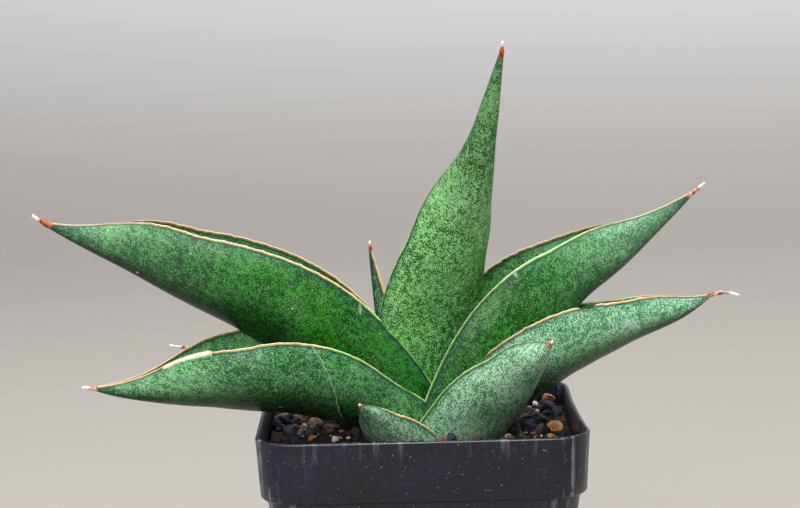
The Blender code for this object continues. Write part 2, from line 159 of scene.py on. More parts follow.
# Each leaf, in millimetres and degrees. These run from base to tip in equal steps: head is the direction of
# its centreline from above, rise its slope, half its half width, roll its turn about the centreline, and flat
# its depth over its half width. wrap is how far round the section reaches from the keel, at the base and in
# the blade, and the share of the length where the margins meet. spine is the dry tip: its length, then how
# far its heading and slope turn. shift moves the foot off the crown.
LEAVES = {
    "leaf_new_spike": {
        "head": (150, 150),
        "rise": (86, 75, 68, 67, 71, 77, 79),
        "half": (3.0, 3.8, 4.3, 4.1, 3.4, 1.9, 0.6),
        "roll": (0, 0),
        "wrap": (150, 150, 0.6),
        "flat": (1, 1),
        "length": 70,
        "spine": (3.0, 0, 12),
    },
    "leaf_tall_centre": {
        "head": (286, 290, 302, 304),
        "rise": (93, 89, 76, 59, 53, 67, 69),
        "half": (6.3, 7.9, 12.9, 17.3, 17.8, 15.8, 12.5, 7.4, 4.0, 2.4, 0.8),
        "roll": (8, 8),
        "wrap": (96, 94, 0.78),
        "flat": (0.8, 0.45, 0.42, 0.85, 1.2, 1.05),
        "length": 139.5,
        "spine": (4.5, 0, 14),
    },
    "leaf_upper_left": {
        "head": (184, 185, 185, 185),
        "rise": (87, 58, 44, 28, 17, 11, 21),
        "half": (9.3, 12.0, 12.3, 12.6, 11.8, 9.3, 4.7, 0.8),
        "roll": (7, -1, -1),
        "wrap": (121, 119, 0.93),
        "flat": (1, 1.25, 1.5, 1.5, 1.5, 1.2),
        "length": 150,
        "spine": (6.5, 0, 22),
    },
    "leaf_upper_right": {
        "head": (1, 6, 5, 6),
        "rise": (86, 64, 55, 41, 20, 29, 37),
        "half": (12.3, 14.2, 14.8, 13.9, 11.2, 6.8, 3.2, 0.7),
        "roll": (2, 4, -6),
        "wrap": (120, 124, 0.84),
        "flat": (1, 1.2, 1.4, 1.4, 1.4, 1.16),
        "length": 123,
        "spine": (6.5, 0, 0),
    },
    "leaf_lower_left": {
        "head": (194, 196, 195, 193),
        "rise": (89, 41, 28, 10, -10, -7, 8),
        "half": (15.3, 14.2, 11.6, 14.0, 14.6, 13.5, 8.9, 4.4, 0.8),
        "roll": (-11, -4, -15),
        "wrap": (125, 124, 0.86),
        "flat": (1, 1.02, 1.05, 1.05, 1.05, 1.02),
        "length": 120.5,
        "spine": (4.5, 0, 0),
    },
    "leaf_lower_right": {
        "head": (356, 356, 356, 354),
        "rise": (81, 54, 37, 28, 13, 5, 27),
        "half": (18.0, 17.4, 14.1, 13.1, 10.8, 5.8, 0.7),
        "roll": (7, -5, -3),
        "wrap": (106, 114, 0.97),
        "flat": (1, 1.05, 1.1, 1.1, 1.1, 1.04),
        "length": 108,
        "spine": (10.0, 0, -50),
    },
    "leaf_small_front_right": {
        "head": (321, 318, 314, 311),
        "rise": (72, 49, 44, 41, 33, 26, 37),
        "half": (20.4, 18.4, 16.2, 14.8, 12.1, 7.0, 0.8),
        "roll": (12, -7, -18),
        "wrap": (94, 98, 0.97),
        "flat": (1, 0.92, 0.85, 0.85, 0.85, 0.94),
        "length": 66.5,
        "spine": (1.5, 0, 0),
    },
    "leaf_old_back_left": {
        "head": (144, 146, 151, 159),
        "rise": (76, 55, 32, 11, -3, -7, -3),
        "half": (20.4, 15.0, 10.6, 6.6, 4.0, 2.6, 0.7),
        "roll": (0, 0),
        "wrap": (92, 92, 0.95),
        "flat": (1, 1.02, 1.05, 1.05, 1.05, 1.02),
        "length": 105,
        "spine": (9.0, 20, 15),
    },
    "leaf_small_front_left": {
        "head": (231, 233, 237, 241),
        "rise": (73, 48, 39, 33, 24, 23, 34),
        "half": (21.5, 18.9, 14.9, 12.2, 8.7, 3.6, 0.6),
        "roll": (-12, -2, 13),
        "wrap": (88, 94, 0.97),
        "flat": (1, 0.85, 0.7, 0.7, 0.7, 0.88),
        "length": 43.5,
        "spine": (1.0, 0, 0),
        "shift": (-2.2, -4.0),
    },
}

# Each leaf's screen colours: dark and light flecks, and the dry tip. Then shares: bloom all over and towards
# the end, and painted shade on the keel, on what faces down and towards the end. dried is how dried each
# margin is, in equal steps from base to tip: first the left one, looking out from the crown, whose side is
# -1, then the right one, whose side is 1. A nick has its share of the length, width, side and depth. paper
# is a torn papery stretch: from, to, side and height. scratch is one long scratch: where it starts on the
# keel, and how much it runs on for each millimetre round the leaf.
LEAF_LOOKS = {
    "leaf_new_spike": {
        "dark": (12, 58, 26), "light": (98, 170, 104), "tip": (196, 92, 40), "bloom": 0.0,
        "end_bloom": 0.1, "keel": 0.3, "under": 0.4, "end_shade": 0.0,
        "dried": ((0.2, 0.4, 0.9), (0.2, 0.4, 0.9)),
    },
    "leaf_tall_centre": {
        "dark": (10, 96, 12), "light": (166, 236, 148), "tip": (190, 84, 30), "bloom": 0.08,
        "end_bloom": 0.0, "keel": 0.0, "under": 0.0, "end_shade": 0.55,
        "dried": ((0, 0, 0, 0.3), (0, 0, 0, 0.3)),
        "nicks": ((0.50, 0.006, 1, 0.7),),
    },
    "leaf_upper_left": {
        "dark": (2, 52, 3), "light": (52, 146, 28), "tip": (214, 96, 36), "bloom": 0.04,
        "end_bloom": 0.22, "keel": 0.4, "under": 0.92, "end_shade": 0.0,
        "dried": ((0, 0.1, 0.8, 1, 0.4), (0.4, 0.9, 1, 1, 0.4)),
        "nicks": ((0.2, 0.008, -1, 0.6),),
    },
    "leaf_upper_right": {
        "dark": (2, 62, 6), "light": (70, 158, 48), "tip": (224, 168, 132), "bloom": 0.08,
        "end_bloom": 0.5, "keel": 0.3, "under": 0.85, "end_shade": 0.0,
        "dried": ((0.3, 1, 1, 1, 0.6), (0, 0, 0.1, 0.2, 0.6)),
    },
    "leaf_lower_left": {
        "dark": (4, 66, 16), "light": (94, 168, 88), "tip": (230, 176, 158), "bloom": 0.16,
        "end_bloom": 0.1, "keel": 0.3, "under": 0.88, "end_shade": 0.0,
        "dried": ((0, 0.1, 0.6, 1, 1), (0.5, 0.6, 0.6, 0.8, 1)),
        "paper": ((0.70, 0.84, -1, 1.2),),
        "scratch": (33.0, 0.78),
    },
    "leaf_lower_right": {
        "dark": (20, 98, 44), "light": (148, 214, 160), "tip": (226, 186, 160), "bloom": 0.24,
        "end_bloom": 0.4, "keel": 0.12, "under": 0.85, "end_shade": 0.0,
        "dried": ((0.3, 0.4, 0.4, 0.6), (0.3, 0.9, 1, 1, 0.9)),
        "nicks": ((0.66, 0.02, 1, 0.8),),
    },
    "leaf_small_front_right": {
        "dark": (44, 112, 62), "light": (180, 226, 188), "tip": (206, 130, 92), "bloom": 0.30,
        "end_bloom": 0.1, "keel": 0.0, "under": 0.4, "end_shade": 0.0,
        "dried": ((0, 0, 0.3, 0.6), (0, 0, 0.2, 0.8)),
    },
    "leaf_old_back_left": {
        "dark": (24, 66, 36), "light": (92, 138, 96), "tip": (212, 174, 146), "bloom": 0.16,
        "end_bloom": 0.1, "keel": 0.3, "under": 0.8, "end_shade": 0.0,
        "dried": ((1, 1), (1, 1)),
    },
    "leaf_small_front_left": {
        "dark": (58, 120, 76), "light": (184, 226, 190), "tip": (220, 120, 92), "bloom": 0.26,
        "end_bloom": 0.1, "keel": 0.0, "under": 0.2, "end_shade": 0.0,
        "dried": ((0.3, 0.8, 1, 1), (0.1, 0.3, 0.6, 1)),
    },
}
YOUNG = (60, 150, 20)
BLOOM_DOTS = ((96, 150, 112), (186, 226, 200))
# painted shade: dark flecked green laid on the keel, on what faces down and towards the end
PAINTED_SHADE_DOTS = ((6, 22, 8), (24, 66, 22))
BLUE_DOTS = ((22, 66, 58), (66, 112, 112))
SCAR = (190, 192, 166)
SPECK = (212, 224, 208)
PAPER = (214, 226, 182)
DRIED_PAPER = (238, 204, 184)
FRESH_BAND = (84, 142, 36)
DRIED_BAND = (198, 92, 44)
MARGIN_LINE = (12, 50, 26)
DRY_POINT = (244, 234, 220)
DRY_BROWN = (112, 46, 18)

# Bands beside the margin: millimetres from its rim where each begins to fade, and where it has gone
EDGE_REACH = (0.30, 0.42)
BAND_REACH = (0.72, 0.95)
LINE_REACH = (0.95, 1.6)
BLUE_REACH = (1.1, 3.6)

# Camera: lens for a sensor 36 wide, place in metres, and degrees
LENS = 100.2
CAMERA_PLACE = (-0.01175, -0.6885, 0.1308 + RIM_HEIGHT * MM)
YAW = 0.54
PITCH = 6.74
ROLL = 1.34

# The sweep in metres: its length unrolled, how much of that is flat floor, the bend's radius, its width and
# where its front edge is
SWEEP_LENGTH = 7.0
SWEEP_FLOOR = 3.4
SWEEP_BEND = 0.9
SWEEP_WIDTH = 9.0
SWEEP_FRONT = -2.2
# painted shade: the floor's darker grey, then the backdrop's pale grey
SWEEP_PAINTED_SHADE_TONES = ((166, 160, 155), (211, 212, 213))
WORLD_TONE = (226, 230, 236)
WORLD_STRENGTH = 0.22

# Lights: name, place, aim, size, power, colour
LIGHTS = (
    ("overhead", (-0.15, -0.15, 1.1), (0, 0, 0.1), (0.8, 0.7), 10.5, (1.0, 0.99, 0.97)),
    ("front", (-0.2, -1.3, 0.75), (0, 0, 0.12), (0.6, 0.5), 12.0, (1.0, 0.99, 0.98)),
    ("backdrop", (0.7, 0.2, 2.2), (0.2, 2.6, 0.4), (2.4, 1.6), 54.0, (1, 1, 1)),
)


def linear(colour):
    """A screen colour out of 255 as the linear value that shaders take."""
    parts = [c / 255 for c in colour]
    return (*[p / 12.92 if p <= 0.04045 else ((p + 0.055) / 1.055) ** 2.4 for p in parts], 1.0)


# ---------------------------------------------------------------- materials


class Finish:
    """A material being put together: its tree, its shader, and short ways to add nodes."""

    def __init__(self, name):
        self.material = bpy.data.materials.new(name)
        self.material.use_nodes = True
        self.tree = self.material.node_tree
        self.shader = self.tree.nodes["Principled BSDF"]

    def add(self, kind, **settings):
        made = self.tree.nodes.new("ShaderNode" + kind)
        for key, value in settings.items():
            setattr(made, key, value)
        return made

    def feed(self, socket, value):
        if isinstance(value, bpy.types.NodeSocket):
            self.tree.links.new(value, socket)
        else:
            socket.default_value = value

    def attribute(self, name):
        return self.add("Attribute", attribute_name=name).outputs["Fac"]

    def place(self, kind="Object"):
        return self.add("TexCoord").outputs[kind]

    def mapped(self, vector, scale, turn=(0.0, 0.0, 0.0)):
        made = self.add("Mapping")
        self.feed(made.inputs["Vector"], vector)
        made.inputs["Rotation"].default_value = turn
        made.inputs["Scale"].default_value = scale
        return made.outputs["Vector"]

    def noise(self, vector, scale, detail=2.0, rough=0.5):
        made = self.add("TexNoise")
        self.feed(made.inputs["Vector"], vector)
        made.inputs["Scale"].default_value = scale
        made.inputs["Detail"].default_value = detail
        made.inputs["Roughness"].default_value = rough
        return made.outputs["Fac"]

    def cells(self, vector, scale):
        made = self.add("TexVoronoi", feature="F1")
        self.feed(made.inputs["Vector"], vector)
        made.inputs["Scale"].default_value = scale
        return made.outputs["Distance"]

    def sum(self, kind, a, b=0.0):
        made = self.add("Math", operation=kind)
        self.feed(made.inputs[0], a)
        self.feed(made.inputs[1], b)
        return made.outputs[0]

    def swing(self, value, amount):
        """The value's swing about a half, as much as is asked."""
        return self.sum("MULTIPLY", self.sum("SUBTRACT", value, 0.5), amount)

    def step(self, value, low, high, to_low=0.0, to_high=1.0):
        made = self.add("MapRange", interpolation_type="SMOOTHSTEP")
        self.feed(made.inputs["Value"], value)
        made.inputs["From Min"].default_value = low
        made.inputs["From Max"].default_value = high
        made.inputs["To Min"].default_value = to_low
        made.inputs["To Max"].default_value = to_high
        return made.outputs["Result"]

    def mix(self, share, a, b, how="MIX"):
        made = self.add("Mix", data_type="RGBA", blend_type=how)
        self.feed(made.inputs["Factor"], share)
        self.feed(made.inputs[6], a)
        self.feed(made.inputs[7], b)
        return made.outputs[2]

    def dots(self, share, tones):
        """Between a dark and a light screen colour."""
        return self.mix(share, linear(tones[0]), linear(tones[1]))

    def bump(self, height, strength, distance, under=None):
        made = self.add("Bump")
        self.feed(made.inputs["Height"], height)
        made.inputs["Strength"].default_value = strength
        made.inputs["Distance"].default_value = distance
        if under is not None:
            self.feed(made.inputs["Normal"], under)
        return made.outputs["Normal"]

    def set(self, name, value):
        self.feed(self.shader.inputs[name], value)


def leaf_finish(name, look):
    """Flecked green skin with bloom, painted shade, scratches, a papery margin, the bands beside it and a dry
    tip.
    """
    f = Finish(name)
    skin = f.place("UV")
    where = f.place("Object")
    rim = f.attribute("rim")
    along = f.attribute("along")
    dry = f.attribute("dry")
    dried = f.attribute("dried")
    keel = f.attribute("keel")

    fleck_place = f.mapped(skin, (1.0, 0.62, 1.0))
    fine = f.noise(fleck_place, 2700.0, 1.5, 0.55)
    coarse = f.noise(fleck_place, 700.0, 2.0, 0.5)
    broad = f.noise(where, 60.0, 2.0, 0.5)
    raised = f.sum("ADD", fine, f.swing(coarse, 0.5))
    raised = f.sum("ADD", raised, f.swing(broad, 0.35))
    # painted shade: the flecks turn darker towards the keel
    raised = f.sum("SUBTRACT", raised, f.sum("MULTIPLY", keel, 0.28 * look["keel"]))
    flecks = f.step(raised, 0.39, 0.64)
    green = f.dots(flecks, (look["dark"], look["light"]))

    young = f.step(along, 0.1, 0.45, 0.6, 0.0)
    green = f.mix(young, green, linear(YOUNG), "OVERLAY")
    bloom = f.step(f.noise(where, 95.0, 3.0, 0.6), 0.3, 0.75)
    bloom_share = f.sum("MULTIPLY", bloom, look["bloom"] * 1.8)
    bloom_share = f.sum("MULTIPLY", bloom_share, f.step(along, 0.12, 0.4, 0.35, 1.0))
    bloom_share = f.sum("ADD", bloom_share, f.step(along, 0.5, 0.92, 0.0, look["end_bloom"]))
    green = f.mix(bloom_share, green, f.dots(flecks, BLOOM_DOTS))
    # painted shade: darker on the keel, on faces that point down and towards the end
    painted_shade = f.step(keel, 0.5, 1.0, 0.0, look["keel"])
    painted_shade = f.sum("MAXIMUM", painted_shade, f.step(f.attribute("under"), 0.1, 0.7, 0.0, look["under"]))
    painted_shade = f.sum("MAXIMUM", painted_shade, f.step(along, 0.5, 0.8, 0.0, look["end_shade"]))
    green = f.mix(painted_shade, green, f.dots(flecks, PAINTED_SHADE_DOTS))

    blue = f.step(rim, *BLUE_REACH, 0.5, 0.0)
    green = f.mix(blue, green, f.dots(flecks, BLUE_DOTS))
    line = f.step(rim, *LINE_REACH, 0.85, 0.0)
    green = f.mix(line, green, linear(MARGIN_LINE))

    scratch_place = f.mapped(where, (1.0, 1.0, 0.22), (0.0, math.radians(35), 0.0))
    scratches = f.step(f.noise(scratch_place, 330.0, 1.0, 0.4), 0.735, 0.77)
    scar_here = f.step(f.noise(where, 40.0, 2.0, 0.5), 0.5, 0.58)
    scars = f.sum("MULTIPLY", scratches, scar_here)
    wander = f.swing(f.noise(where, 260.0, 3.0, 0.6), 2.2)
    long_scratch = f.sum("ABSOLUTE", f.sum("ADD", f.attribute("scratch"), wander))
    scars = f.sum("MAXIMUM", scars, f.step(long_scratch, 0.06, 0.26, 1.0, 0.0))
    green = f.mix(f.sum("MULTIPLY", scars, 0.6), green, linear(SCAR))
    specks = f.step(f.cells(where, 210.0), 0.05, 0.11, 1.0, 0.0)
    specks = f.sum("MULTIPLY", specks, f.step(f.noise(where, 120.0), 0.5, 0.58))
    green = f.mix(f.sum("MULTIPLY", specks, 0.7), green, linear(SPECK))

    rim_wobbly = f.sum("ADD", rim, f.swing(f.noise(where, 600.0), 0.5))
    patchy = f.sum("ADD", dried, f.swing(f.noise(where, 170.0, 2.0, 0.6), 1.0))
    turned = f.step(patchy, 0.35, 0.6)
    dried_tone = f.mix(f.step(rim_wobbly, 0.5, 0.66), linear(DRIED_BAND), linear(FRESH_BAND))
    band_tone = f.mix(turned, linear(FRESH_BAND), dried_tone)
    edge_tone = f.mix(turned, linear(PAPER), linear(DRIED_PAPER))
    band = f.step(rim_wobbly, *BAND_REACH, 1.0, 0.0)
    colour = f.mix(band, green, band_tone)
    edge = f.step(rim_wobbly, *EDGE_REACH, 1.0, 0.0)
    edge = f.sum("MAXIMUM", edge, f.attribute("paper"))
    colour = f.mix(edge, colour, edge_tone)

    dry_wobble = f.sum("ADD", dry, f.swing(f.noise(where, 500.0), 0.25))
    dry_zone = f.step(dry_wobble, 0.22, 0.42)
    pale_end = f.step(dry_wobble, 0.66, 0.86)
    brown = f.step(f.noise(where, 700.0, 3.0), 0.4, 0.62)
    tip_tone = f.mix(brown, linear(look["tip"]), linear(DRY_BROWN))
    tip_tone = f.mix(pale_end, tip_tone, linear(DRY_POINT))
    colour = f.mix(dry_zone, colour, tip_tone)
    f.set("Base Color", colour)

    rough = f.step(fine, 0.3, 0.7, 0.46, 0.36)
    rough = f.sum("ADD", rough, f.sum("MULTIPLY", f.sum("MAXIMUM", dry_zone, edge), 0.3))
    f.set("Roughness", rough)
    f.set("Specular IOR Level", 0.26)
    streaks = f.noise(f.mapped(skin, (1.0, 0.06, 1.0)), 900.0, 2.0, 0.5)
    relief = f.bump(streaks, 0.2, 0.0003)
    relief = f.bump(fine, 0.3, 0.00015, relief)
    relief = f.bump(f.noise(where, 150.0, 3.0, 0.6), 0.35, 0.001, relief)
    f.set("Normal", relief)
    return f.material


def pot_finish():
    """Navy-black moulded plastic with dust, dark smears, pale scuffs on its corners and a painted highlight
    on its lip.
    """
    f = Finish("pot_black_plastic")
    where = f.place("Object")
    mottled = f.noise(where, 40.0, 3.0, 0.6)
    colour = f.dots(f.step(mottled, 0.35, 0.7), PLASTIC)
    dust = f.step(f.cells(where, 480.0), 0.06, 0.16, 1.0, 0.0)
    dust = f.sum("MULTIPLY", dust, f.step(f.noise(where, 110.0), 0.44, 0.58))
    colour = f.mix(f.sum("MULTIPLY", dust, 0.6), colour, linear(DUST))
    fine_dust = f.step(f.noise(where, 1100.0, 3.0, 0.75), 0.57, 0.74)
    colour = f.mix(f.sum("MULTIPLY", fine_dust, 0.3), colour, linear(FINE_DUST))
    # pale scuffs streaking the corners, and a painted highlight along the lip
    upright = f.noise(f.mapped(where, (1.0, 1.0, 0.09)), 420.0, 2.0, 0.5)
    scuff_and_lip_highlight = f.sum("MULTIPLY", f.step(upright, 0.54, 0.7), f.attribute("wear_and_lip_highlight"))
    colour = f.mix(f.sum("MULTIPLY", scuff_and_lip_highlight, 0.55), colour, linear(SCUFF_AND_LIP_HIGHLIGHT))
    smear = f.step(f.noise(f.mapped(where, (0.7, 1.0, 1.2)), 70.0, 3.0, 0.6), 0.6, 0.64)
    colour = f.mix(f.sum("MULTIPLY", smear, 0.75), colour, linear(SMEAR))
    f.set("Base Color", colour)
    f.set("Roughness", f.step(mottled, 0.3, 0.7, 0.30, 0.46))
    f.set("Specular IOR Level", 0.5)
    relief = f.bump(f.noise(where, 900.0, 3.0, 0.6), 0.18, 0.0002)
    relief = f.bump(f.noise(where, 60.0, 2.0), 0.2, 0.001, relief)
    f.set("Normal", relief)
    return f.material


def grit_finish(name, tones, pore=900.0, rough=0.9):
    """Broken mineral or bark: two tones, pores and a rough face."""
    f = Finish(name)
    where = f.place("Object")
    tone = f.noise(where, 280.0, 4.0, 0.65)
    colour = f.dots(f.step(tone, 0.3, 0.7), tones)
    pores = f.step(f.noise(where, pore, 3.0, 0.7), 0.58, 0.7)
    colour = f.mix(f.sum("MULTIPLY", pores, 0.45), colour, linear([c * 0.45 for c in tones[0]]))
    f.set("Base Color", colour)
    f.set("Roughness", rough)
    f.set("Specular IOR Level", 0.3)
    relief = f.bump(f.noise(where, pore, 4.0, 0.65), 0.7, 0.0005)
    f.set("Normal", relief)
    return f.material


# ---------------------------------------------------------------- making pieces


def deselect():
    if bpy.context.mode != "OBJECT":
        bpy.ops.object.mode_set(mode="OBJECT")
    bpy.ops.object.select_all(action="DESELECT")


def finish_piece(piece, name, finish, slot, *nodes):
    """Names the piece, gives it its finish and ties it to the model."""
    piece.name = name
    piece.data.name = name
    piece.data.materials.clear()
    piece.data.materials.append(finish)
    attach(piece, "root")
    if nodes:
        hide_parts(*nodes)


def set_points(mesh, points):
    mesh.vertices.foreach_set("co", np.asarray(points, np.float32).reshape(-1))
    mesh.update()


def get_points(mesh):
    points = np.empty(len(mesh.vertices) * 3, np.float32)
    mesh.vertices.foreach_get("co", points)
    return points.reshape(-1, 3).astype(float)


def write_values(mesh, name, values):
    made = mesh.attributes.new(name, "FLOAT", "POINT")
    made.data.foreach_set("value", np.asarray(values, np.float32).reshape(-1))


def through(values, share):
    """A smooth curve through equally spaced values, at shares from 0 to 1 of its length."""
    values = np.asarray(values, float)
    last = len(values) - 1
    spot = np.clip(share, 0, 1) * last
    low = np.minimum(spot.astype(int), last - 1)
    t = spot - low
    ends = np.concatenate([[2 * values[0] - values[1]], values, [2 * values[-1] - values[-2]]])
    a, b, c, d = ends[low], ends[low + 1], ends[low + 2], ends[low + 3]
    return b + 0.5 * t * (c - a + t * (2 * a - 5 * b + 4 * c - d + t * (3 * (b - c) + d - a)))


def ease(low, high, value):
    t = np.clip((np.asarray(value, float) - low) / (high - low), 0, 1)
    return t * t * (3 - 2 * t)


def ways(heading, slope):
    """Unit vectors at headings and slopes in radians."""
    return np.stack(
        [np.cos(slope) * np.cos(heading), np.cos(slope) * np.sin(heading), np.sin(slope)], axis=-1
    )


def waver(values, seed, count=5):
    """A smooth uneven value of about 1 either way, the same for the same seed."""
    rng = np.random.default_rng(seed)
    total = np.zeros_like(values)
    for k in range(count):
        total += np.sin(values * rng.uniform(0.6, 1.6) * (k + 1) + rng.uniform(0, 6.3)) / (k + 1) ** 0.7
    return total / 1.7


def leaf_course(leaf):
    """Stations along the leaf and its dry tip: share of length, centre, side and inner directions."""
    share = np.linspace(0, 1, ALONG)
    head = np.radians(through(leaf["head"], share))
    rise = np.radians(through(leaf["rise"], share))
    roll = np.radians(through(leaf["roll"], share))
    along = ways(head, rise)
    inner = ways(head, rise + math.pi / 2)
    side = np.cross(along, inner)
    turned_side = side * np.cos(roll)[:, None] - inner * np.sin(roll)[:, None]
    turned_inner = inner * np.cos(roll)[:, None] + side * np.sin(roll)[:, None]
    shift = np.array((*leaf.get("shift", (0, 0)), 0))
    steps = 0.5 * (along[1:] + along[:-1]) * leaf["length"] / (ALONG - 1)
    centre = np.concatenate([[CROWN + shift], CROWN + shift + np.cumsum(steps, axis=0)])
    length, turn, lift = leaf["spine"]
    k = np.linspace(1 / SPINE_RINGS, 1, SPINE_RINGS)
    tip_head = head[-1] + np.radians(turn) * k
    tip_rise = rise[-1] + np.radians(lift) * k
    tip_along = ways(tip_head, tip_rise)
    tip_centre = centre[-1] + np.cumsum(tip_along * length / SPINE_RINGS, axis=0)
    tip_side = np.repeat(turned_side[-1:], SPINE_RINGS, axis=0)
    tip_inner = np.cross(tip_side, tip_along)
    return (
        np.concatenate([share, 1 + k]),
        np.concatenate([centre, tip_centre]),
        np.concatenate([turned_side, tip_side]),
        np.concatenate([turned_inner, tip_inner]),
    )


def leaf_rings(leaf, seed):
    """Points of every ring round the leaf, with what the finish needs to know at each."""
    s, centre, side, inner = leaf_course(leaf)
    tip = np.clip(s - 1, 0, 1)
    half = through(leaf["half"], s)
    flat = through(leaf["flat"], s)
    uneven = 1 + 0.008 * waver(s * 10, seed) * ease(0.15, 0.4, s)
    half = half * uneven * (1 - 0.55 * tip)
    dry_lump = 1 + 0.25 * waver(tip * 9, seed + 7) * ease(0, 0.3, tip)
    half = np.where(tip > 0, half * dry_lump, half)
    depth = half * flat
    at_base, in_blade, closed = leaf["wrap"]
    wrap = at_base + (in_blade - at_base) * ease(0, 0.3, s)
    wrap = np.radians(wrap + (MOST_WRAP - wrap) * ease(closed - 0.25, closed, s))
    keel = KEEL_AT_BASE + (KEEL_IN_BLADE - KEEL_AT_BASE) * ease(0.1, 0.45, s)
    chord = half * np.sin(wrap)
    lift = -depth * np.cos(wrap)
    bottom = np.maximum(lift + depth - np.minimum(keel, 0.45 * depth), 0.25 * chord)
    bottom = bottom * (1 - ease(closed - 0.3, closed, s) * 0.8)

    def at(x, y):
        """Points at x across and y inward of each station's centre."""
        return centre[:, None] + side[:, None] * x[..., None] + inner[:, None] * y[..., None]

    spread = np.linspace(-1, 1, 2 * OUTER_HALF + 1)
    spread = np.sign(spread) * (1 - (1 - np.abs(spread)) ** 1.25)
    phi = wrap[:, None] * spread[None, :]
    out_x = half[:, None] * np.sin(phi)
    out_y = -depth[:, None] * np.cos(phi)

    thick = np.minimum(MARGIN_THICK, 0.3 * chord)
    blade = ease(0.02, 0.1, s) * (1 - ease(closed - 0.06, closed + 0.02, s) * 0.75) * (1 - tip)
    flange = {}
    for sign in (-1, 1):
        dried = through(leaf["dried"][(sign + 1) // 2], s)
        ragged = 1 + (0.08 + 0.22 * dried) * waver(s * 110, seed + 20 + sign, 9)
        torn = np.zeros_like(s)
        for where, width, which, amount in leaf.get("nicks", ()):
            if which == sign:
                torn += amount * np.exp(-(((s - where) / width) ** 2))
        grown = np.zeros_like(s)
        for low, high, which, amount in leaf.get("paper", ()):
            if which == sign:
                grown += amount * ease(low, low + 0.02, s) * (1 - ease(high - 0.03, high, s))
        tall = MARGIN_TALL * blade * ragged + grown * (0.8 + 0.5 * waver(s * 90, seed + 3))
        tall = np.clip(tall, 0.05, 0.12 * half + 0.05)
        flange[sign] = (tall, torn, grown, dried)

    def margin(sign):
        """The papery edge at one end of the outer curve: outer foot to tip to inner foot."""
        tall, torn, _, _ = flange[sign]
        end = sign * wrap
        tangent_x = half * np.cos(end) * sign
        tangent_y = depth * np.sin(end) * sign
        size = np.hypot(tangent_x, tangent_y) + 1e-9
        tangent_x, tangent_y = tangent_x / size, tangent_y / size
        normal_x, normal_y = tangent_y * sign, -tangent_x * sign
        foot_x = half * np.sin(end) - tangent_x * torn
        foot_y = -depth * np.cos(end) - tangent_y * torn
        up = tall[:, None] * MARGIN_UP
        back = thick[:, None] * MARGIN_BACK
        x = foot_x[:, None] + tangent_x[:, None] * up - normal_x[:, None] * back
        y = foot_y[:, None] + tangent_y[:, None] * up - normal_y[:, None] * back
        return x, y

    reach = 1 - np.minimum(1.3 * thick / np.maximum(chord, 1e-6), 0.5)
    across = np.linspace(1, 0, INNER_HALF) ** 0.8
    in_x = chord[:, None] * reach[:, None] * across
    in_y = lift[:, None] - bottom[:, None] * (1 - (reach[:, None] * across) ** 2)
    right_x, right_y = margin(1)
    left_x, left_y = margin(-1)
    columns_x = [-in_x[:, ::-1], left_x[:, ::-1], out_x, right_x, in_x]
    columns_y = [in_y[:, ::-1], left_y[:, ::-1], out_y, right_y, in_y]
    x = np.concatenate(columns_x, axis=1)
    y = np.concatenate(columns_y, axis=1)
    points = at(x, y)
    gaps = np.linalg.norm(np.diff(points, axis=1), axis=2)
    arc = np.concatenate([np.zeros((len(s), 1)), np.cumsum(gaps, axis=1)], axis=1)
    left_tip = INNER_HALF + BEAD // 2
    right_tip = INNER_HALF + BEAD + 2 * OUTER_HALF + 1 + BEAD // 2
    from_left = np.abs(arc - arc[:, left_tip : left_tip + 1])
    from_right = np.abs(arc - arc[:, right_tip : right_tip + 1])
    rim = np.minimum(from_left, from_right)
    middle = INNER_HALF + BEAD + OUTER_HALF
    arc = arc - arc[:, middle : middle + 1]
    run = np.concatenate([[0], np.cumsum(np.linalg.norm(np.diff(centre, axis=0), axis=1))])
    grown = np.where(arc < 0, flange[-1][2][:, None], flange[1][2][:, None])
    paper = ease(0.1, 0.6, grown) * (1 - ease(1.2, 2.0, rim))
    dried = np.where(arc < 0, flange[-1][3][:, None], flange[1][3][:, None])
    dry = ease(1 - 2.5 / leaf["length"], 1.0, s) * 0.35 + 0.65 * tip
    start, slant = leaf.get("scratch", (0, 0))
    scratch = np.where((arc < 0) & (start > 0), run[:, None] - start + slant * arc, NO_SCRATCH)
    return {
        "points": points,
        "arc": arc,
        "scratch": scratch,
        "run": np.repeat(run[:, None], points.shape[1], axis=1),
        "rim": rim,
        "along": np.repeat(s[:, None], points.shape[1], axis=1),
        "dry": np.repeat(dry[:, None], points.shape[1], axis=1),
        "paper": paper,
        "dried": dried,
        "keel": 1 - np.clip(np.abs(arc) / KEEL_REACH, 0, 1),
    }


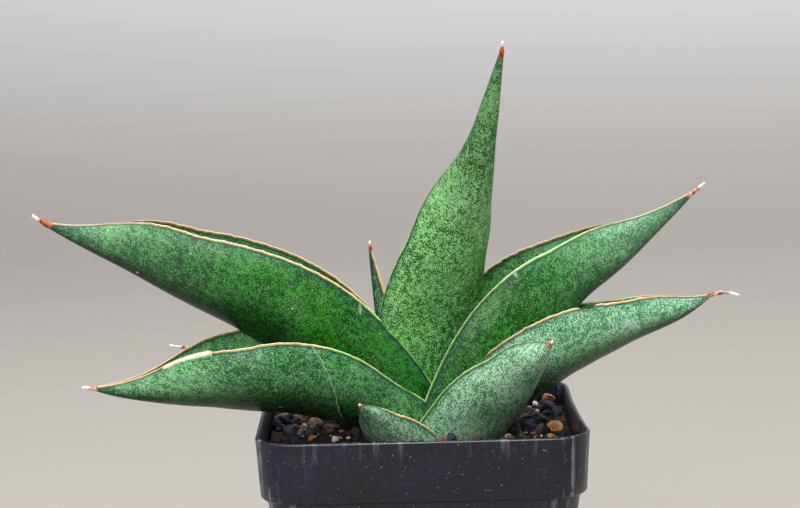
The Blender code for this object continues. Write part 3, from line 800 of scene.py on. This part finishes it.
def grow_leaf(leaf, seed):
    """A grid laid round the leaf's rings, closed along its seam and at both ends."""
    rings = leaf_rings(leaf, seed)
    rows, columns = rings["points"].shape[:2]
    deselect()
    bpy.ops.mesh.primitive_grid_add(x_subdivisions=columns - 1, y_subdivisions=rows - 1, size=1)
    piece = bpy.context.object
    mesh = piece.data
    set_points(mesh, rings["points"].reshape(-1, 3) * MM)
    for key in ("rim", "along", "dry", "paper", "dried", "keel", "scratch"):
        write_values(mesh, key, rings[key])
    corner = np.empty(len(mesh.loops), np.int32)
    mesh.loops.foreach_get("vertex_index", corner)
    flat = np.stack([rings["arc"].reshape(-1), rings["run"].reshape(-1)], axis=1)[corner] * MM
    mesh.uv_layers[0].data.foreach_set("uv", flat.astype(np.float32).reshape(-1))
    bpy.ops.object.mode_set(mode="EDIT")
    bpy.ops.mesh.select_all(action="SELECT")
    bpy.ops.mesh.remove_doubles(threshold=LEAF_WELD)
    bpy.ops.mesh.select_all(action="DESELECT")
    bpy.ops.mesh.select_non_manifold()
    bpy.ops.mesh.edge_face_add()
    bpy.ops.mesh.select_all(action="SELECT")
    bpy.ops.mesh.normals_make_consistent(inside=False)
    bpy.ops.object.mode_set(mode="OBJECT")
    bpy.ops.object.shade_smooth()
    normals = np.empty(len(mesh.vertices) * 3, np.float32)
    mesh.vertices.foreach_get("normal", normals)
    # how far each point faces down, for the leaf's painted shade
    write_values(mesh, "under", np.maximum(-normals[2::3], 0))
    return piece


def make_leaves():
    for seed, (name, leaf) in enumerate(LEAVES.items(), start=3):
        look = LEAF_LOOKS[name]
        piece = grow_leaf({**leaf, **look}, seed * 31)
        slot = name.replace("leaf_", "green_")
        finish_piece(piece, name + "_skin", leaf_finish(slot + "_skin", look), slot, name)


# ---------------------------------------------------------------- pot and mix


def between(low, high, share):
    """The height and half width at a share of the way between two levels."""
    return low[0] + (high[0] - low[0]) * share, low[1] + (high[1] - low[1]) * share


def extrude_levels(section, start_z, start_half, step):
    """Extrudes the selected flat outline through the section's levels, about the Z axis."""
    z, half = start_z, start_half
    for next_z, next_half in section:
        count = max(1, math.ceil(abs(next_z - z) / step))
        for k in range(1, count + 1):
            level = between((z, half), (next_z, next_half), k / count)
            before = between((z, half), (next_z, next_half), (k - 1) / count)
            rise = (level[0] - before[0]) * MM
            bpy.ops.mesh.extrude_region_move(TRANSFORM_OT_translate={"value": (0, 0, rise)})
            scale = level[1] / before[1]
            bpy.ops.transform.resize(value=(scale, scale, 1), center_override=(0, 0, 0))
        z, half = next_z, next_half


def drill_drains(pot):
    """Four round holes through the foot."""
    for x in (-DRAIN_OFFSET, DRAIN_OFFSET):
        for y in (-DRAIN_OFFSET, DRAIN_OFFSET):
            deselect()
            bpy.ops.mesh.primitive_cylinder_add(
                vertices=DRAIN_STEPS,
                radius=DRAIN_RADIUS * MM,
                depth=DRILL_LENGTH * MM,
                location=(x * MM, y * MM, 1.0 * MM),
            )
            drill = bpy.context.object
            cut = pot.modifiers.new("drain", "BOOLEAN")
            cut.operation = "DIFFERENCE"
            cut.solver = "EXACT"
            cut.object = drill
            bpy.context.view_layer.objects.active = pot
            bpy.ops.object.modifier_apply(modifier=cut.name)
            bpy.data.objects.remove(drill)


def make_pot():
    """A rounded square foot extruded up into the body, band and lip, then down inside to the floor."""
    deselect()
    bpy.ops.mesh.primitive_plane_add(size=2 * POT_START * MM)
    pot = bpy.context.object
    bpy.ops.object.mode_set(mode="EDIT")
    bpy.ops.mesh.bevel(affect="VERTICES", offset=FOOT_CORNER * MM, segments=CORNER_STEPS)
    bpy.ops.mesh.select_mode(type="EDGE")
    shape = bmesh.from_edit_mesh(pot.data)
    for edge in shape.edges:
        edge.select_set(edge.calc_length() > FOOT_CORNER * MM)
    bmesh.update_edit_mesh(pot.data)
    bpy.ops.mesh.subdivide(number_cuts=SIDE_CUTS)
    bpy.ops.mesh.select_mode(type="FACE")
    bpy.ops.mesh.select_all(action="SELECT")
    extrude_levels(POT_SECTION, 0.0, POT_START, POT_LEVEL)
    bpy.ops.mesh.select_all(action="SELECT")
    bpy.ops.mesh.normals_make_consistent(inside=False)
    bpy.ops.object.mode_set(mode="OBJECT")
    drill_drains(pot)
    points = get_points(pot.data) / MM
    x, y, z = points.T
    sag = ease(20, 46, x) * ease(60, RIM_HEIGHT, z) * (1 - np.minimum((y / SAG_HALF_LENGTH) ** 2, 1))
    points[:, 0] -= WALL_SAG * sag
    set_points(pot.data, points * MM)
    corner = np.minimum(np.abs(x), np.abs(y)) / np.maximum(np.maximum(np.abs(x), np.abs(y)), 1)
    # painted highlight: the lip is marked like a worn corner so that it takes the pale colour
    lip = ease(RIM_HEIGHT - 2.5, RIM_HEIGHT - 0.5, z)
    write_values(pot.data, "wear_and_lip_highlight", np.maximum(ease(0.7, 0.92, corner), 0.6 * lip))
    deselect()
    pot.select_set(True)
    bpy.context.view_layer.objects.active = pot
    bpy.ops.object.shade_smooth_by_angle(angle=math.radians(SMOOTH_BELOW))
    finish_piece(pot, "nursery_pot", pot_finish(), "pot_plastic", "pot")


def mix_top(x, y):
    """Height of the mix: lower at the walls, mounded at the crown, uneven all over."""
    away = np.hypot(x - CROWN[0], y - CROWN[1])
    mound = MIX_MOUND * (1 - ease(22, 44, away))
    uneven = 0.5 * np.sin(0.41 * x + 1.3) * np.cos(0.37 * y) + 0.35 * np.sin(0.83 * y - 0.6 * x)
    return RIM_HEIGHT - MIX_DEPTH_AT_WALL + mound + uneven + MIX_RISE_AT_BACK * ease(10, 44, y)


def lumpy(points, scale, seed):
    """Smooth noise at each point, from -1 to 1."""
    shift = Vector((seed * 7.3, seed * 3.1, seed * 1.7))
    return np.array([noise.noise(Vector(p) * scale + shift) for p in points])


def make_crust():
    """The dark top of the mix: a grid brought inside the pot's rounded square and roughened."""
    deselect()
    bpy.ops.mesh.primitive_grid_add(
        x_subdivisions=CRUST_CELLS, y_subdivisions=CRUST_CELLS, size=2 * MIX_HALF_WIDTH * MM
    )
    crust = bpy.context.object
    points = get_points(crust.data) / MM
    core = MIX_HALF_WIDTH - MIX_CORNER
    over = np.maximum(np.abs(points[:, :2]) - core, 0)
    length = np.linalg.norm(over, axis=1)
    shrink = np.minimum(1, MIX_CORNER / np.maximum(length, 1e-6))
    square = np.clip(points[:, :2], -core, core)
    points[:, :2] = square + np.sign(points[:, :2]) * over * shrink[:, None]
    rough = 0.8 * lumpy(points, 0.35, 1) + 0.45 * lumpy(points, 0.9, 2)
    points[:, 2] = mix_top(points[:, 0], points[:, 1]) + np.maximum(CRUST_LIFT + rough, CRUST_LEAST)
    set_points(crust.data, points * MM)
    bpy.ops.object.mode_set(mode="EDIT")
    bpy.ops.mesh.select_all(action="SELECT")
    bpy.ops.mesh.remove_doubles(threshold=CRUST_WELD)
    bpy.ops.object.mode_set(mode="OBJECT")
    shell = crust.modifiers.new("shell", "SOLIDIFY")
    shell.thickness = CRUST_THICK * MM
    bpy.ops.object.modifier_apply(modifier=shell.name)
    bpy.ops.object.shade_smooth()
    finish_piece(crust, "mix_crust", grit_finish("dark_humus", HUMUS), "mix_grit")


def broken(points, seed, presses):
    """A unit ball pressed flat by random planes: a broken stone or chip."""
    rng = np.random.default_rng(seed)
    ways_in = rng.normal(size=(presses, 3))
    ways_in /= np.linalg.norm(ways_in, axis=1)[:, None]
    for way, reach in zip(ways_in, rng.uniform(0.55, 0.85, presses)):
        over = np.maximum(points @ way - reach, 0)
        points = points - over[:, None] * way
    return points


def make_lumps():
    """Each larger stone, chip and coal in its solid's place."""
    for seed, (node, tones) in enumerate(LUMP_TONES.items(), start=1):
        low, high = (np.array(corner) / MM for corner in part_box(node))
        deselect()
        bpy.ops.mesh.primitive_ico_sphere_add(subdivisions=LUMP_LEVELS, radius=1)
        lump = bpy.context.object
        points = broken(get_points(lump.data), seed * 13, LUMP_PRESSES)
        pits = 0.10 * lumpy(points, 2.2, seed) + 0.06 * lumpy(points, 5.5, seed + 5)
        pits += 0.03 * lumpy(points, 12, seed)
        points *= (1 + pits)[:, None]
        points *= 1 / np.abs(points).max(axis=0)
        set_points(lump.data, ((low + high) / 2 + points * (high - low) / 2) * MM)
        bpy.ops.object.shade_smooth()
        finish = grit_finish(node + "_grain", tones)
        finish_piece(lump, node + "_broken", finish, node + "_face", node)


def scatter_bits():
    """Small bits over the crust: one shape of each kind, copied, pressed, turned and joined."""
    for kind, (tones, count, small, large, long, levels) in BITS.items():
        rng = np.random.default_rng(len(kind) * 17 + count)
        deselect()
        bpy.ops.mesh.primitive_ico_sphere_add(subdivisions=levels, radius=1)
        first = bpy.context.object
        base = get_points(first.data)
        made = []
        while len(made) < count:
            x, y = rng.uniform(-MIX_HALF_WIDTH + 2, MIX_HALF_WIDTH - 2, 2)
            size = small + (large - small) * rng.random() ** 2
            turn = np.linalg.qr(rng.normal(size=(3, 3)))[0]
            jag = rng.uniform(0.8, 1.0, (len(base), 1))
            chip = broken(base * jag, rng.integers(1 << 30), BIT_PRESSES)
            lift = rng.uniform(0.2, 0.9)
            past_corner = np.hypot(max(abs(x) - BIT_CORE, 0), max(abs(y) - BIT_CORE, 0)) > BIT_CORNER
            if past_corner or np.hypot(x - CROWN[0], y - CROWN[1]) < CROWN_CLEAR:
                continue
            shape = chip * size * np.array((long, 1.0, 0.75)) @ turn
            shape += np.array((x, y, float(mix_top(x, y)) + BIT_LIFT + lift * size))
            copy = bpy.data.objects.new(kind, first.data.copy())
            bpy.context.scene.collection.objects.link(copy)
            set_points(copy.data, shape * MM)
            made.append(copy)
        bpy.data.objects.remove(first)
        deselect()
        for copy in made:
            copy.select_set(True)
        bpy.context.view_layer.objects.active = made[0]
        bpy.ops.object.join()
        joined = bpy.context.object
        bpy.ops.object.mode_set(mode="EDIT")
        bpy.ops.mesh.select_all(action="SELECT")
        bpy.ops.mesh.normals_make_consistent(inside=False)
        bpy.ops.object.mode_set(mode="OBJECT")
        finish_piece(joined, kind, grit_finish(kind + "_grain", tones, 1400.0), "mix_grit")


def dress_solids():
    """Finishes for the solids that stay: the mix below its crust and the rootstock inside it."""
    for node, finish in (
        ("potting_mix", grit_finish("packed_mix", PACKED_MIX)),
        ("rootstock", grit_finish("rootstock_skin", ROOT_SKIN, 500.0, 0.7)),
    ):
        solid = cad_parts[node]
        solid.data.materials.clear()
        solid.data.materials.append(finish)


# ---------------------------------------------------------------- stage, light, camera


def make_camera():
    data = bpy.data.cameras.new("view")
    data.sensor_fit = "HORIZONTAL"
    data.sensor_width = 36
    data.lens = LENS
    data.clip_end = 50
    camera = bpy.data.objects.new("view", data)
    bpy.context.scene.collection.objects.link(camera)
    yaw, pitch, roll = math.radians(YAW), math.radians(PITCH), math.radians(ROLL)
    forward = Vector((math.sin(yaw) * math.cos(pitch), math.cos(yaw) * math.cos(pitch), -math.sin(pitch)))
    right = Vector((math.cos(yaw), -math.sin(yaw), 0))
    up = right.cross(forward)
    level_right = right * math.cos(roll) - up * math.sin(roll)
    level_up = right * math.sin(roll) + up * math.cos(roll)
    turn = Matrix((level_right, level_up, -forward)).transposed()
    camera.matrix_world = Matrix.Translation(CAMERA_PLACE) @ turn.to_4x4()
    bpy.context.scene.camera = camera


def soft_light(name, place, aim, size, power, colour):
    data = bpy.data.lights.new(name, "AREA")
    data.shape = "RECTANGLE"
    data.size, data.size_y = size
    data.energy = power
    data.color = colour
    lamp = bpy.data.objects.new(name, data)
    lamp.location = place
    lamp.rotation_euler = (Vector(aim) - Vector(place)).to_track_quat("-Z", "Y").to_euler()
    bpy.context.scene.collection.objects.link(lamp)


def make_stage():
    """A pale sweep: floor in front, curving up into a backdrop, with painted shade darkening the floor."""
    deselect()
    bpy.ops.mesh.primitive_grid_add(x_subdivisions=4, y_subdivisions=60, size=1)
    sweep = bpy.context.object
    mesh = sweep.data
    points = get_points(mesh)
    reach = (points[:, 1] + 0.5) * SWEEP_LENGTH
    angle = np.clip((reach - SWEEP_FLOOR) / SWEEP_BEND, 0, math.pi / 2)
    past = np.maximum(reach - SWEEP_FLOOR - SWEEP_BEND * math.pi / 2, 0)
    y = np.minimum(reach, SWEEP_FLOOR) + SWEEP_FRONT + SWEEP_BEND * np.sin(angle)
    z = SWEEP_BEND * (1 - np.cos(angle)) + past
    set_points(mesh, np.stack([points[:, 0] * SWEEP_WIDTH, y, z], axis=1))
    sweep.name = "sweep"
    bpy.ops.object.shade_smooth()
    f = Finish("sweep_pale")
    split = f.add("SeparateXYZ")
    f.feed(split.inputs["Vector"], f.place("Object"))
    # painted shade: darker on the floor, fading to pale up the bend
    height = f.step(split.outputs["Z"], -0.02, 0.3)
    f.set("Base Color", f.dots(height, SWEEP_PAINTED_SHADE_TONES))
    f.set("Roughness", 0.9)
    mesh.materials.append(f.material)


def make_light():
    world = bpy.data.worlds.new("soft_room")
    bpy.context.scene.world = world
    world.use_nodes = True
    background = world.node_tree.nodes["Background"]
    background.inputs["Color"].default_value = linear(WORLD_TONE)
    background.inputs["Strength"].default_value = WORLD_STRENGTH
    for light in LIGHTS:
        soft_light(*light)
    bpy.context.scene.view_settings.view_transform = "Standard"


def main():
    make_camera()
    make_stage()
    make_light()
    make_leaves()
    make_pot()
    make_crust()
    make_lumps()
    scatter_bits()
    dress_solids()


main()
